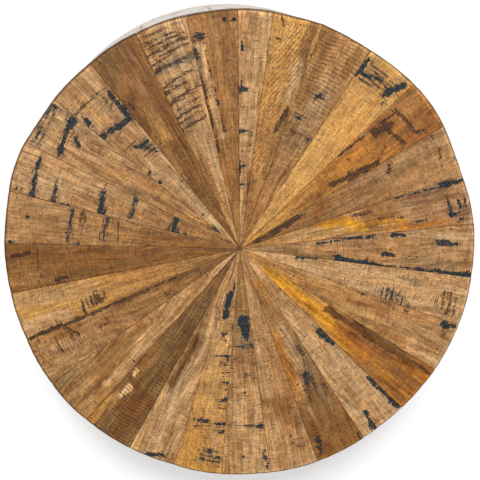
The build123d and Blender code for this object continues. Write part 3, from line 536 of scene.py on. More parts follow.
def weather(along, across, tones, palette, lean, wave, streaky, saw, marks, seed):
    """Colours and relief of an old board, for points in millimetres along and across it.

    The colour runs through the tones along the board, with ragged soft patches over it, and is
    then streaked along the grain by clouds much longer than wide. Tar, stain and saw marks are
    fields from 0 to 1 that cross 0.5 at a ragged edge. What divides a coordinate is a size in
    millimetres. Returns the colour, the three fields, the grain's own coordinates, the saw
    marks' phase and the relief in millimetres, 0 or less."""
    turn = radians(lean)
    fibre = along * cos(turn) + across * sin(turn)
    side = across * cos(turn) - along * sin(turn) + wave * cloud(fibre / 70, across / 26, seed)
    first_tone, last_tone = 30, 285
    tone_places = np.linspace(first_tone, last_tone, len(tones))
    tone_along = fibre + 14 * cloud(fibre / 24, side / 5, seed + 1)
    stops = np.array([linear(palette[tone])[:3] for tone in tones])
    colour = np.stack([np.interp(tone_along, tone_places, stop) for stop in stops.T], axis=-1)

    # Each mark thins to half its width at its end. Its edge is ragged, and fades over a wider band
    # where the mark crosses the grain. A nail is a tar mark with a hole in it, and whatever isn't
    # tar, stain, nail or hatch is a patch of the tone that it names
    ragged = 1.5 * cloud(along / 6, across / 2.2, seed + 2)
    ragged = ragged + 1.1 * cloud(along / 2.6, across / 2.6, seed + 3)
    ragged = ragged + 1.2 * cloud(along / 11, across / 7, seed + 14)
    soft = 3.5 * cloud(fibre / 22, side / 5, seed + 4)
    soft = soft + 1.5 * cloud(fibre / 7, side / 2.5, seed + 5)
    tar, stain, hatch, sunk = (np.zeros_like(along) for _ in range(4))
    for kind, *ends, width, solid in marks:
        distance, share = stroke(along, across, *ends)
        inside = width * (0.5 - 0.24 * share) + ragged * min(1.0, 0.2 + width / 8) - distance
        length = max(np.hypot(ends[2] - ends[0], ends[3] - ends[1]), 1.0)
        crosswise = 0.4 if length < 3 else abs(ends[3] - ends[1]) / length
        crisp = np.clip(0.5 + inside / (0.9 + 1.6 * crosswise), 0.0, 1.0)
        skirt = (0.15 + 0.31 * crosswise) * np.clip(1 + inside / (2.5 + 0.5 * width), 0.0, 1.0)
        edge = np.maximum(crisp, skirt) * solid
        blur = np.clip(0.5 + (width / 2 - distance + soft) / (0.5 * width + 4), 0.0, 1.0)
        if kind in ("tar", "nail"):
            tar = np.maximum(tar, edge)
            if kind == "nail":
                sunk = np.maximum(sunk, 1.6 * np.clip(1 - distance / (0.45 * width), 0.0, 1.0))
        elif kind == "stain":
            stain = np.maximum(stain, edge)
        elif kind == "hatch":
            hatch = np.maximum(hatch, solid * blur)
        else:
            share = (crisp if solid == 1 else solid * blur * blur * (3 - 2 * blur))[..., None]
            colour = colour * (1 - share) + np.array(linear(palette[kind])[:3]) * share

    # Light and dark streaks along the grain, blotches, and the crisp grit of the sawn face
    broad = np.tanh(2 * cloud(fibre / 90, side / 6.5, seed + 6))
    narrow = np.tanh(2.2 * cloud(fibre / 24, side / 2.5, seed + 7))
    mottled = np.tanh(2 * cloud(fibre / 17, side / 8, seed + 8))
    shade = streaky * (0.1 * broad + 0.15 * narrow) + 0.15 * mottled
    shade = shade + 0.19 * cloud(along / 2.7, across / 3.6, seed + 12)
    shade = shade + min(0.12, 0.5 * saw[2]) * cloud(along / 2.7, across / 15, seed + 15)
    shade = shade * min(1.0, 0.35 + 0.65 * streaky)
    colour = colour * (1 + shade[..., None] * wood_tint)

    # Growth rings 4.6 mm apart, which come and go, and reddish and yellowish patches
    rings = np.sin(2 * pi * (side / 4.6 + 0.9 * cloud(fibre / 45, side / 11, seed + 16)))
    rings = rings * np.clip(0.4 + cloud(fibre / 60, side / 20, seed + 17), 0.0, 1.0)
    colour = colour * (1 + 0.12 * min(1.6, streaky) * rings[..., None] * np.array((1.0, 1.2, 1.5)))
    warmth = cloud(fibre / 50, side / 9, seed + 13)[..., None]
    colour = colour * (1 + 0.08 * min(1.0, streaky) * warmth * np.array((0.8, -0.2, -1.6)))

    # Saw marks: one turn of the phase for each tooth mark, deeper in some places than in others
    spacing, saw_lean, saw_depth = saw
    phase = along * cos(radians(saw_lean)) + across * sin(radians(saw_lean))
    phase = phase / spacing + 0.5 * cloud(along / 34, across / 17, seed + 9)
    patchy = np.clip(0.5 + 1.1 * cloud(along / 30, across / 12, seed + 10), 0.0, 1.0)
    hatch = np.maximum(hatch, saw_depth) * (0.4 + 0.6 * patchy)
    # The face is gently dished, and lower along dark streaks and where it is stained or holed
    relief = 0.12 * cloud(along / 60, across / 25, seed + 11) + 0.05 * narrow - 0.17
    relief = relief - 0.25 * stain - 0.15 * tar - sunk
    return np.clip(colour, 0.0, 1.0), (tar, stain, hatch, phase), fibre, side, relief


def plank(name, grid, back, colour, marks, grain):
    """A closed board from its worked face, a grid of points in metres, and the corners behind it:
    two where the face's last row already lies on the underside, or four. The colour, the marks and
    the grain's coordinates become point attributes, with one value for each grid point."""
    rows, columns = grid.shape[:2]
    index = np.arange(rows * columns).reshape(rows, columns)
    quads = np.stack([index[:-1, :-1], index[1:, :-1], index[1:, 1:], index[:-1, 1:]], axis=-1)
    faces = quads.reshape(-1, 4).tolist()
    smooth_faces = len(faces)
    first = rows * columns
    left, right = [first], [first + 1]
    faces.append([*index[0].tolist(), first + 1, first])
    if len(back) == 4:
        left, right = left + [first + 2], right + [first + 3]
        faces.append([*index[-1].tolist(), first + 3, first + 2])
        faces.append([first, first + 1, first + 3, first + 2])
    else:
        faces.append([first, *index[-1].tolist(), first + 1])
    faces.append(index[:, 0].tolist() + left[::-1])
    faces.append(index[:, -1].tolist() + right[::-1])
    mesh = bpy.data.meshes.new(name)
    mesh.from_pydata(np.concatenate([grid.reshape(-1, 3), np.asarray(back)]).tolist(), [], faces)
    work = bmesh.new()
    work.from_mesh(mesh)
    bmesh.ops.recalc_face_normals(work, faces=work.faces)
    work.to_mesh(mesh)
    work.free()
    mesh.polygons.foreach_set("use_smooth", np.arange(len(mesh.polygons)) < smooth_faces)
    corners = [index[0, 0], index[0, -1], index[-1, 0], index[-1, -1]][: len(back)]
    for field, kind, key, values in (
        ("tone", "FLOAT_COLOR", "color", (*np.moveaxis(colour, -1, 0), 1.0)),
        ("marks", "FLOAT_COLOR", "color", marks),
        ("grain", "FLOAT_VECTOR", "vector", grain),
    ):
        values = [np.broadcast_to(value, (rows, columns)).ravel() for value in values]
        values = np.stack(values, axis=-1)
        values = np.concatenate([values, values[corners]]).astype(np.float32)
        mesh.attributes.new(field, kind, "POINT").data.foreach_set(key, values.ravel())
    piece = bpy.data.objects.new(name, mesh)
    bpy.context.scene.collection.objects.link(piece)
    return piece


def old_wood(
    name,
    fibre_contrast,
    pore_depth,
    worn_gain,
    comb_reach,
    stain_colour,
    tar_colour,
    tar_glint,
    roughness,
):
    """Old wood with an open grain. The colour comes from the board's own attributes, and the
    shader adds what is finer than a millimetre or two: fibres, pores, saw lines and the ragged
    edges of stains. Fibres are 0.3 mm wide and pores 0.1 mm on the real wood; they are drawn 1.2
    and 0.8 mm wide so that they show. Each pattern is a noise, which lies round 0.5, stretched
    between two of its own levels."""
    wood = new_material(name)
    tone = add_node(wood, "ShaderNodeAttribute", attribute_name="tone", output="Color")
    marks = add_node(wood, "ShaderNodeAttribute", attribute_name="marks").node.outputs
    tar, stain, hatch = add_node(wood, "ShaderNodeSeparateColor", marks["Color"]).node.outputs
    grain = add_node(wood, "ShaderNodeAttribute", attribute_name="grain", output="Vector")

    noises = []
    for frequency, detail, rough in (
        # frequency along, across and between boards in 1/mm, detail, roughness
        ((0.1, 0.6, 1.0), 4.0, 0.75),  # fibres
        ((0.014, 0.26, 1.0), 3.0, 0.6),  # long streaks
        ((0.07, 0.75, 1.0), 3.0, 0.6),  # pores
        ((0.3, 0.55, 1.0), 3.0, 0.7),  # speckle
        ((0.6, 0.1, 1.0), 3.0, 0.7),  # cuts across the grain
        ((0.55, 0.06, 1.0), 2.0, 0.6),  # comb along the edges of marks
        ((0.3, 0.62, 3.0), 3.0, 0.7),  # flecks of worn wood
        ((0.3, 0.5, 1.0), 4.0, 0.7),  # ragged edges of marks
    ):
        place = add_node(wood, "ShaderNodeMapping", grain, input_Scale=frequency)
        settings = {"input_Scale": 1.0, "input_Detail": detail, "input_Roughness": rough}
        noises.append(add_node(wood, "ShaderNodeTexNoise", place, **settings))
    fibres, streaks, pores, speckle, cuts, comb, flecks, ragged = noises

    # The board's own colour, lighter and darker with the fibres
    shade = 1.0
    for noise, depth in ((fibres, 1.0), (streaks, 0.6), (speckle, 0.7)):
        depth = depth * fibre_contrast
        step = add_node(wood, "ShaderNodeMapRange", noise, 0.3, 0.7, 1 - depth, 1 + depth)
        shade = add_node(wood, "ShaderNodeMath", shade, step, operation="MULTIPLY")
    colour = add_node(wood, "ShaderNodeVectorMath", tone, input_3=shade, operation="SCALE")
    worn = add_node(wood, "ShaderNodeVectorMath", tone, input_3=worn_gain, operation="SCALE")
    polished = add_node(wood, "ShaderNodeVectorMath", worn, input_3=1.3, operation="SCALE")

    # Dark pores and short cuts of the saw, and paler flecks where the wood is worn
    dark_pores = add_node(wood, "ShaderNodeMapRange", pores, 0.56, 0.7, 0.0, pore_depth)
    sawn = add_node(wood, "ShaderNodeMapRange", hatch, 0.0, 0.35, 0.25, 1.0)
    sawn = add_node(wood, "ShaderNodeMath", sawn, 0.85 * pore_depth, operation="MULTIPLY")
    dark_cuts = add_node(wood, "ShaderNodeMapRange", cuts, 0.54, 0.66)
    dark_cuts = add_node(wood, "ShaderNodeMath", dark_cuts, sawn, operation="MULTIPLY")
    pale_flecks = add_node(wood, "ShaderNodeMapRange", flecks, 0.54, 0.68)

    # Saw lines: a sine of the board's own phase, dark in the cuts and polished on the ridges
    line = add_node(wood, "ShaderNodeMath", marks["Alpha"], 2 * pi, operation="MULTIPLY")
    line = add_node(wood, "ShaderNodeMath", line, operation="SINE")
    line = add_node(wood, "ShaderNodeMapRange", line, 0.1, 0.9)
    ridge = add_node(wood, "ShaderNodeMapRange", line, 0.0, 0.6, 0.6, 0.0)
    for share in (hatch, add_node(wood, "ShaderNodeMapRange", cuts, 0.42, 0.6, 0.1, 1.0)):
        line = add_node(wood, "ShaderNodeMath", line, share, operation="MULTIPLY")
    for share in (hatch, add_node(wood, "ShaderNodeMapRange", flecks, 0.44, 0.56)):
        ridge = add_node(wood, "ShaderNodeMath", ridge, share, operation="MULTIPLY")
    dark_line = add_node(wood, "ShaderNodeMath", line, 0.7, operation="MULTIPLY")

    def torn(field, reach):
        """A mark's field with noise added: its edge wanders, and is combed across the grain."""
        field = add_node(wood, "ShaderNodeMath", ragged, reach, field, operation="MULTIPLY_ADD")
        comb_share = comb_reach * reach
        field = add_node(wood, "ShaderNodeMath", comb, comb_share, field, operation="MULTIPLY_ADD")
        mean = 0.5 * (reach + comb_share)
        return add_node(wood, "ShaderNodeMath", field, mean, operation="SUBTRACT")

    halo = add_node(wood, "ShaderNodeMapRange", torn(tar, 0.9), 0.12, 0.7, 0.0, 0.45)
    rubbed = add_node(wood, "ShaderNodeMapRange", fibres, 0.45, 0.62, 1.0, 0.68)
    stained = add_node(wood, "ShaderNodeMapRange", torn(stain, 1.6), 0.34, 0.64, 0.0, 0.97)
    stained = add_node(wood, "ShaderNodeMath", stained, rubbed, operation="MULTIPLY")
    tarred = add_node(wood, "ShaderNodeMapRange", torn(tar, 1.75), 0.42, 0.62)
    rubbed_tar = add_node(wood, "ShaderNodeMapRange", rubbed, 0.6, 0.9, 0.82, 1.0)
    tarred = add_node(wood, "ShaderNodeMath", tarred, rubbed_tar, operation="MULTIPLY")
    glints = add_node(wood, "ShaderNodeMapRange", speckle, 0.48, 0.64)

    # Coat upon coat, from the bare wood to the tar, which glints where it is thin
    dark, black, grey = linear(stain_colour), linear(tar_colour), linear(tar_glint)
    settings = {"input_6": black, "input_7": grey, "data_type": "RGBA", "output": 2}
    tar_tone = add_node(wood, "ShaderNodeMix", glints, **settings)
    for share, coat in (
        (dark_pores, dark),
        (dark_cuts, dark),
        (pale_flecks, worn),
        (dark_line, dark),
        (ridge, polished),
        (halo, dark),
        (stained, dark),
        (tarred, tar_tone),
    ):
        settings = {"input_6": colour, "input_7": coat, "data_type": "RGBA", "output": 2}
        colour = add_node(wood, "ShaderNodeMix", share, **settings)

    # Tar is rougher than wood. Pores and saw cuts lie lower than the fibres, and thick tar higher
    rougher, smoother = roughness + 0.07, roughness - 0.07
    rough = add_node(wood, "ShaderNodeMapRange", fibres, 0.3, 0.7, rougher, smoother)
    rough = add_node(wood, "ShaderNodeMath", tarred, 0.12, rough, operation="MULTIPLY_ADD")
    open_pores = add_node(wood, "ShaderNodeMapRange", pores, 0.58, 0.72)
    thick = add_node(wood, "ShaderNodeMath", speckle, 0.4, operation="SUBTRACT")
    height = fibres
    for share, rise in ((open_pores, -0.6), (line, -0.8), (tarred, thick)):
        height = add_node(wood, "ShaderNodeMath", share, rise, height, operation="MULTIPLY_ADD")
    shader = add_node(
        wood,
        "ShaderNodeBsdfPrincipled",
        input_Base_Color=colour,
        input_Roughness=rough,
        input_Specular_IOR_Level=0.18,  # open grain and thin oil shine far less than lacquer
        input_Normal=add_node(wood, "ShaderNodeBump", 0.5, 0.0004, input_Height=height),
    )
    return finish_material(wood, shader)


top_wood = old_wood(
    "oiled_reclaimed_mango_wood",
    fibre_contrast=0.4,
    pore_depth=0.7,
    worn_gain=1.34,
    comb_reach=1.5,
    stain_colour="#301907",
    tar_colour="#07131a",
    tar_glint="#36444b",
    roughness=0.46,
)
# Wear, end grain, and the rim's painted shade and highlight, in millimetres where nothing else is
# said
seam_ease, seam_drop = 0.8, 0.25  # how wide and deep the eased edge beside a seam is
seam_dark = 0.4  # how much darker it is, as a share
board_drop = 0.2  # how much lower than its neighbours a board lies at most
rim_wear, rim_wear_varies = 0.15, 0.25
full_wear = 0.0025  # metres past the flat top, where the rim's wear is at its deepest
rim_brown = np.array(linear("#3e2411")[:3])
rim_brown_share, end_grain_and_shade_share = 0.75, 0.96  # how brown the rim's end grain and painted shade are, and how solid
dark_rim, dark_rim_varies, dark_rim_edge = 2.6, 0.7, 0.9  # width of the dark rim, how much its painted shade widens it on one side, blur of its edge
# Bearings where painted shade makes the dark rim widest and where the arris has no painted
# highlight
most_shaded_rim_bearing, least_highlit_arris_bearing = radians(170), radians(200)
arris_inside, arris_width = 1.6, 1.5  # from the dark rim to the pale arris, which is worn and carries a painted highlight
# How strong the arris's wear and painted highlight are
arris_wear_and_highlight = 0.26

board_start = first_board_angle
for number, (span, tones, lean, wave, streaky, saw, marks) in enumerate(boards, start=1):
    name = f"top_board_{number:02d}"
    seed = 100 * number
    middle, half = radians(board_start + span / 2), radians(span / 2)
    board_start += span
    cad_mesh = frame["nodes"][name].data
    cad_points = np.empty(3 * len(cad_mesh.vertices))
    cad_mesh.vertices.foreach_get("co", cad_points)
    cad_x, cad_y, cad_z = cad_points.reshape(-1, 3).T
    cad_turn = (np.arctan2(cad_y, cad_x) - middle + pi) % (2 * pi) - pi
    cad_reach = np.hypot(cad_x, cad_y)
    on_rim = (cad_reach > rim_zone) & (cad_z < table_top - rim_round + 1e-5)
    order = np.argsort(cad_turn[on_rim])

    # Columns fan out from the tip; rows run along the top, over the rounded rim and down its side
    half_rim = half * cad_reach.max()
    from_edge = np.arange(edge_columns[-1], half_rim, column_step)
    place = 1 - np.concatenate([edge_columns[:-1], from_edge]) / half_rim
    place = np.concatenate([-place, place[place > 1e-3][::-1]])
    rim = np.interp(place * half, cad_turn[on_rim][order], cad_reach[on_rim][order])
    tip = plug_radius + tip_clear
    flat_rows = int((rim.mean() - tip) / row_step)
    row = np.arange(flat_rows + round_rows + side_rows)[:, None]
    last_flat, last_round, last_row = flat_rows - 1, flat_rows + round_rows - 1, len(row) - 1
    share = np.interp(row, (0, last_flat), (0.0, 1.0))
    turn = np.interp(row, (last_flat, last_round), (0.0, pi / 2))
    fall = np.interp(row, (last_round, last_row), (0.0, table_top - rim_round - board_bottom))
    reach = tip + share * (rim - rim_round - tip) + rim_round * np.sin(turn)
    height = table_top - rim_round * (1 - np.cos(turn)) - fall
    past_top = rim_round * turn + fall

    angle = place * (half - np.arcsin(half_seam / reach))
    along = 1000 * np.where(past_top > 0, rim - rim_round + past_top, reach)
    across = 1000 * reach * np.sin(angle)
    colour, fields, fibre, side, relief = weather(
        along, across, tones.split(), wood_tones, lean, wave, streaky, saw, marks, seed
    )
    # Eased edges beside the seams, a worn rim, and a board a little lower than its neighbour
    from_seam = 1000 * reach * (half - np.abs(angle))
    beside_seam = np.exp(-((from_seam / seam_ease) ** 2)) * np.clip(along / 60, 0.2, 1.0)
    broken = np.clip(0.35 + 1.1 * cloud(along / 13, np.sign(angle) * 3.5, seed + 22), 0.0, 1.0)
    colour = colour * (1 - seam_dark * (broken * beside_seam)[..., None])
    rim_worn = rim_wear + rim_wear_varies * cloud(across / 7, along / 9, seed + 20)
    lower = np.clip(cloud(np.float64(number) / 1.7, 0.5, 7) + 0.5, 0.0, 1.0)
    relief = relief - seam_drop * beside_seam - board_drop * lower
    relief = relief - np.clip(past_top / full_wear, 0.0, 1.0) * rim_worn
    relief = np.minimum(relief, 0.0) / 1000
    # The rim is end grain, which drinks the oil and is darkest, with a paler worn arris inside it.
    # Painted shade widens the dark rim on one side, and a painted highlight brightens the arris on
    # the other.
    bearing = middle + angle
    from_outside = 1000 * (rim - reach)
    # Painted shade: the dark rim is wider towards one bearing
    dark_width = dark_rim + dark_rim_varies * np.cos(bearing - most_shaded_rim_bearing)
    dark_width = dark_width + 0.5 * cloud(across / 9, 0.5, seed + 21)
    worn = np.exp(-(((from_outside - dark_width - arris_inside) / arris_width) ** 2))
    # Painted highlight: the arris is paler away from one bearing, with a little wear all round
    worn = worn * np.clip(arris_wear_and_highlight * (1 - np.cos(bearing - least_highlit_arris_bearing)), 0.05, 1.0)
    colour = colour * (1 + worn[..., None] * wood_tint)
    # The dark rim is end grain with painted shade over it
    end_grain_and_shade = np.clip((dark_width - from_outside) / dark_rim_edge, 0.0, 1.0)[..., None]
    end_grain_and_shade = end_grain_and_shade_share * end_grain_and_shade
    rim_tone = (1 - rim_brown_share) * colour + rim_brown_share * rim_brown
    colour = colour * (1 - end_grain_and_shade) + rim_tone * end_grain_and_shade

    reach = reach + relief * np.sin(turn)
    height = height + relief * np.cos(turn)
    grid = np.stack([reach * np.cos(bearing), reach * np.sin(bearing), height], axis=-1)
    tip_bearings = bearing[0, [0, -1]]
    behind = [(tip * cos(edge), tip * sin(edge), board_bottom) for edge in tip_bearings]
    board = plank(name + "_old", grid, behind, colour, fields, (fibre, side, 37.0 * number))
    board.data.materials.append(top_wood)
    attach(board, "root")
    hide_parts(name)


# Centre plug
# A dab of dark wood filler pressed into the small gap where the twenty-nine tips meet, sanded
# flush with them, so that its grit shows as fine light and dark grains.


def clouded(name, frequency, detail, distortion, tones, bump, **finish):
    """A material whose colour runs from one tone to the other with noise, which also raises its
    surface. The noise has a frequency in 1/m along X, Y and Z, the bump is a strength and a height
    in metres, and the finish sets what is the same all over."""
    material = new_material(name)
    place = add_node(material, "ShaderNodeTexCoord", output="Object")
    place = add_node(material, "ShaderNodeMapping", place, input_Scale=frequency)
    settings = {"input_Scale": 1.0, "input_Detail": detail, "input_Distortion": distortion}
    noise = add_node(material, "ShaderNodeTexNoise", place, **settings)
    settings = {"input_6": linear(tones[0]), "input_7": linear(tones[1]), "data_type": "RGBA"}
    colour = add_node(material, "ShaderNodeMix", noise, output=2, **settings)
    normal = add_node(material, "ShaderNodeBump", *bump, input_Height=noise)
    settings = {"input_Base_Color": colour, "input_Normal": normal, **finish}
    return finish_material(material, add_node(material, "ShaderNodeBsdfPrincipled", **settings))


grit_frequency = (900.0, 900.0, 900.0)  # grains of about a millimetre
filler = clouded(
    "sanded_dark_wood_filler",
    grit_frequency,
    detail=3.0,
    distortion=0.0,
    tones=("#33210f", "#6b4a28"),
    bump=(1.0, 0.0002),
    input_Roughness=0.62,
)
frame["nodes"]["centre_plug"].material_slots[0].material = filler


# Wall staves
# Eighteen upright planks of old pine, rounded outside to the drum, glued edge to edge and nailed
# to the two discs. They were limewashed and rubbed back, so bare wood shows at edges and knots.
wall_radius = 0.2935
inner_face = 0.2735  # from the table's axis to a stave's flat inner face
stave_foot = 0.004
stave_head = 0.428
first_stave_angle = -4.0
stave_spans = (19, 21, 20, 18, 22, 20, 19, 21, 20, 22, 18, 20, 21, 19, 20, 22, 18, 20)
nail_inset = 0.02  # from a stave's edge to its nails
nail_levels = (0.019, 0.419)
pocket_radius, pocket_rim = 0.0032, 0.0038  # of its flat floor and of its top
pocket_depth = 0.001
rust_radius, rust_rim = 0.0018, 0.0063  # of the full stain round a nail and of its end
rust_share = 0.5
arc_step, level_step, fine_step = 0.0028, 0.003, 0.0009  # fine beside the nails
fine_arc, fine_level = 0.005, 0.0055  # how far from a nail the fine steps reach
edge_places = np.array((0.0005, 0.0011, 0.0019))  # from a stave's long edges
end_places = np.array((0.0005, 0.0012))  # from its ends
edge_ease, edge_drop, rubbed_reach = 1.1, 0.7, 1.6  # millimetres wide, deep and rubbed bare
end_ease, end_drop = 1.0, 0.5  # millimetres wide and deep
stave_grain = (0, 3, 0.3)  # its lean in degrees, its wave in millimetres, how streaky it is
stave_saw = (4.5, 86, 0.1)  # spacing in millimetres, lean in degrees, depth
wash_tones = {
    "milk": "#f6efe7", "chalk": "#f1e8de", "limewash": "#ebe0d4", "pebble": "#e3d6c8",
    "oatmeal": "#dccbb8",
}
rust_tone = np.array(linear("#9a7350")[:3])

washed_pine = old_wood(
    "rubbed_limewash_on_old_pine",
    fibre_contrast=0.1,
    pore_depth=0.3,
    worn_gain=1.05,
    comb_reach=0.0,
    stain_colour="#a98a66",
    tar_colour="#6d5138",
    tar_glint="#8d6c4a",
    roughness=0.62,
)


def spaced(start, end, step, centres, reach, fine_step, end_places):
    """Places from start to end, a step apart, a fine step apart within reach of each centre, and
    at the end places from both ends."""
    places = [np.arange(start, end, step), [end]]
    for centre in centres:
        fine = np.arange(centre - reach, centre + reach, fine_step)
        places.append(fine[(fine > start) & (fine < end)])
    places = np.unique(np.concatenate(places))
    keep = np.concatenate([[True], np.diff(places) > 0.45 * fine_step])
    keep[-1] = True
    keep[-2] = places[-1] - places[-2] > 0.45 * fine_step
    return np.unique(np.concatenate([places[keep], start + end_places, end - end_places]))


chance = np.random.default_rng(11)
stave_start = first_stave_angle
for number, span in enumerate(stave_spans, start=1):
    name = f"wall_stave_{number:02d}"
    middle, half = radians(stave_start + span / 2), radians(span / 2)
    stave_start += span
    half_arc = half * wall_radius
    half_width = 1000 * half_arc
    nail_arcs = (nail_inset - half_arc, half_arc - nail_inset)
    arcs = spaced(-half_arc, half_arc, arc_step, nail_arcs, fine_arc, fine_step, edge_places)
    levels = spaced(
        stave_foot, stave_head, level_step, nail_levels, fine_level, fine_step, end_places
    )
    level, arc = np.meshgrid(levels, arcs, indexing="ij")
    angle = arc / half_arc * (half - asin(half_seam / wall_radius))
    along, across = 1000 * level, 1000 * wall_radius * np.sin(angle)

    # Two to four cracks along the stave, long edges rubbed bare, and on most staves a knot
    tones = chance.choice(["milk", "chalk", "limewash", "pebble"], 3)
    marks = []
    for _ in range(chance.integers(2, 5)):
        low, high = np.sort(chance.uniform(10, 420, 2))
        lane = chance.uniform(-0.9, 0.9) * half_width
        lane_end, width = lane + chance.uniform(-4, 4), chance.uniform(0.6, 2.2)
        marks.append(("stain", low, lane, high, lane_end, width, 0.62))
    for lane in (-half_width, half_width):
        low, high = np.sort(chance.uniform(0, 430, 2))
        marks.append(("stain", low, lane, high, lane, chance.uniform(2, 5), 0.75))
        marks.append(("oatmeal", low, lane, high, lane, 12, 0.7))
    if chance.random() < 0.6:
        knot, lane = chance.uniform(60, 380), chance.uniform(-0.6, 0.6) * half_width
        marks.append(("oatmeal", knot - 14, lane, knot + 14, lane, 18, 0.8))
        marks.append(("tar", knot, lane, knot + 4, lane, 8, 0.8))
    seed = 5000 + 50 * number
    colour, (tar, stain, hatch, phase), fibre, side, relief = weather(
        along, across, tones, wash_tones, *stave_grain, stave_saw, marks, seed
    )
    from_seam = 1000 * (half_arc - np.abs(arc))
    from_end = 1000 * np.minimum(level - stave_foot, stave_head - level)
    relief = relief - edge_drop * np.exp(-((from_seam / edge_ease) ** 2))
    relief = relief - end_drop * np.exp(-((from_end / end_ease) ** 2))
    rubbed = 0.9 + cloud(along / 17, across / 9, number)
    rubbed = rubbed * np.exp(-((from_seam / rubbed_reach) ** 2))
    stain = np.maximum(stain, 0.75 * np.clip(rubbed, 0.0, 1.0))
    # Each nail sits in a small pocket with a rust stain round it
    for nail_level in nail_levels:
        for nail_arc in nail_arcs:
            from_nail = np.hypot(level - nail_level, arc - nail_arc)
            pocket = np.interp(from_nail, (pocket_radius, pocket_rim), (pocket_depth, 0.0))
            relief = relief - 1000 * pocket
            rust = np.interp(from_nail, (rust_radius, rust_rim), (rust_share, 0.0))[..., None]
            colour = colour * (1 - rust) + rust * rust_tone
    reach = wall_radius + np.minimum(relief, 0.0) / 1000
    bearing = middle + angle
    grid = np.stack([reach * np.cos(bearing), reach * np.sin(bearing), level], axis=-1)
    half_inner = inner_face * tan(half) - half_seam / cos(half)
    behind = [
        (
            inner_face * cos(middle) - inner_side * sin(middle),
            inner_face * sin(middle) + inner_side * cos(middle),
            end_level,
        )
        for end_level in (stave_foot, stave_head)
        for inner_side in (-half_inner, half_inner)
    ]
    fields, grain = (tar, stain, hatch, phase), (fibre, side, 900.0 + 37.0 * number)
    stave = plank(name + "_old", grid, behind, colour, fields, grain)
    stave.data.materials.append(washed_pine)
    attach(stave, "root")
    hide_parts(name)


# Plywood discs
# Two round discs of 18 mm birch plywood, routed to a circle and left raw: the deck that carries
# the boards, and the base inside the wall's lower end. Thirteen veneers show on their edges.
veneer_pair = 0.0028  # metres, a light and a dark veneer of 1.4 mm each
dark_veneer = 0.35  # how dark the dark veneers are, on the discs' edges alone
birch_light, birch_tan, birch_fleck, birch_glue = (
    linear(tone) for tone in ("#c9a877", "#e2c79c", "#a07c4c", "#8e6a41")
)

birch = new_material("sanded_birch_plywood")
place = add_node(birch, "ShaderNodeTexCoord", output="Object")
# Long grain of 5 mm lines and fine flecks of 1 mm, with the frequency in 1/m along X, Y and Z
stretched = add_node(birch, "ShaderNodeMapping", place, input_Scale=(9.0, 220.0, 30.0))
settings = {"input_Scale": 1.0, "input_Detail": 5.0, "input_Distortion": 0.6}
grain = add_node(birch, "ShaderNodeTexNoise", stretched, **settings)
stretched = add_node(birch, "ShaderNodeMapping", place, input_Scale=(110.0, 900.0, 60.0))
flecks = add_node(birch, "ShaderNodeTexNoise", stretched, input_Scale=1.0, input_Detail=2.0)
fleck_share = add_node(birch, "ShaderNodeMapRange", flecks, 0.6, 0.75, 0.0, 0.4)
# Veneers are a sine of the height, on faces that don't point up or down
height = add_node(birch, "ShaderNodeSeparateXYZ", place, output="Z")
wave = add_node(birch, "ShaderNodeMath", height, 2 * pi / veneer_pair, operation="MULTIPLY")
wave = add_node(birch, "ShaderNodeMath", wave, operation="SINE")
layer = add_node(birch, "ShaderNodeMapRange", wave, -0.2, 0.2)
normal = add_node(birch, "ShaderNodeNewGeometry", output="Normal")
upward = add_node(birch, "ShaderNodeSeparateXYZ", normal, output="Z")
upward = add_node(birch, "ShaderNodeMath", upward, operation="ABSOLUTE")
on_edge = add_node(birch, "ShaderNodeMapRange", upward, 0.5, 0.8, dark_veneer, 0.0)
veneer_share = add_node(birch, "ShaderNodeMath", layer, on_edge, operation="MULTIPLY")
colour = birch_light
for share, coat in ((grain, birch_tan), (fleck_share, birch_fleck), (veneer_share, birch_glue)):
    settings = {"input_6": colour, "input_7": coat, "data_type": "RGBA", "output": 2}
    colour = add_node(birch, "ShaderNodeMix", share, **settings)
shader = add_node(
    birch,
    "ShaderNodeBsdfPrincipled",
    input_Base_Color=colour,
    input_Roughness=0.6,
    input_Normal=add_node(birch, "ShaderNodeBump", 0.4, 0.0002, input_Height=grain),
)
finish_material(birch, shader)
for name in ("top_deck", "base_disc"):
    frame["nodes"][name].material_slots[0].material = birch


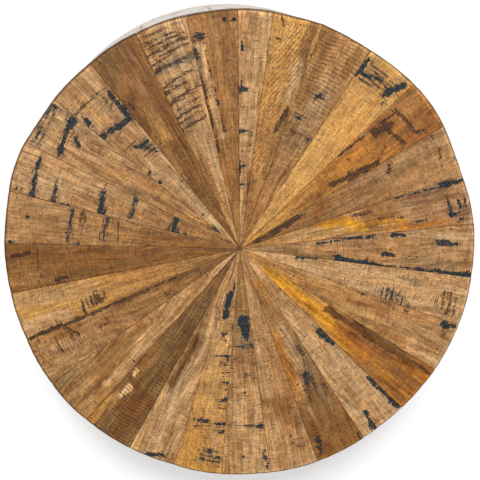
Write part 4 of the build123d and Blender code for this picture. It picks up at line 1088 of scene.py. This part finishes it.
# Posts
# Four square posts of planed spruce between the discs, screwed through both into their ends.
# Planing leaves long soft bands of early and late wood, 4 mm apart, that run up the post.
spruce = clouded(
    "planed_spruce",
    (260.0, 260.0, 6.0),
    detail=4.0,
    distortion=0.8,
    tones=("#e0bf8b", "#bd8f56"),
    bump=(0.3, 0.0002),
    input_Roughness=0.55,
)
for name in ("post_1", "post_2", "post_3", "post_4"):
    frame["nodes"][name].material_slots[0].material = spruce


# Screws
# Zinc plated countersunk wood screws with a square drive, driven up into the boards and into the
# posts' ends. The plating is clouded, and shines more in some places than in others.
zinc = new_material("zinc_plated_steel")
place = add_node(zinc, "ShaderNodeTexCoord", output="Object")
cloud_frequency = 600.0  # in 1/m, clouds of 1 to 2 mm
settings = {"input_Scale": cloud_frequency, "input_Detail": 4.0}
noise = add_node(zinc, "ShaderNodeTexNoise", place, **settings)
settings = {"input_6": linear("#a9a79c"), "input_7": linear("#cfcab8"), "data_type": "RGBA"}
colour = add_node(zinc, "ShaderNodeMix", noise, output=2, **settings)
clouded_shine = add_node(zinc, "ShaderNodeMapRange", noise, 0.3, 0.7, 0.28, 0.46)
settings = {"input_Base_Color": colour, "input_Metallic": 1.0, "input_Roughness": clouded_shine}
finish_material(zinc, add_node(zinc, "ShaderNodeBsdfPrincipled", **settings))
for name in ("board_screws", "post_screws"):
    frame["nodes"][name].material_slots[0].material = zinc


# Stave nails
# Round-headed steel nails, two at each end of a stave, punched just below the face. They are
# blackened and have begun to rust.
rust_frequency = (1100.0, 1100.0, 1100.0)  # flecks of about a millimetre
black_iron = clouded(
    "blackened_nail_steel",
    rust_frequency,
    detail=4.0,
    distortion=0.0,
    tones=("#35302c", "#6b4632"),
    bump=(0.5, 0.0001),
    input_Metallic=0.7,
    input_Roughness=0.55,
)
frame["nodes"]["stave_nails"].material_slots[0].material = black_iron


# Floor glides
# Four brown plastic glides, moulded on steel pins and tapped into the base disc. The mould gave
# them a fine spark texture, drawn coarser here so that it shows.
spark_frequency = (1500.0, 1500.0, 1500.0)
brown_plastic = clouded(
    "moulded_brown_polyethylene",
    spark_frequency,
    detail=2.0,
    distortion=0.0,
    tones=("#2f251e", "#3d3128"),
    bump=(0.3, 0.0001),
    input_Roughness=0.48,
)
frame["nodes"]["floor_glides"].material_slots[0].material = brown_plastic
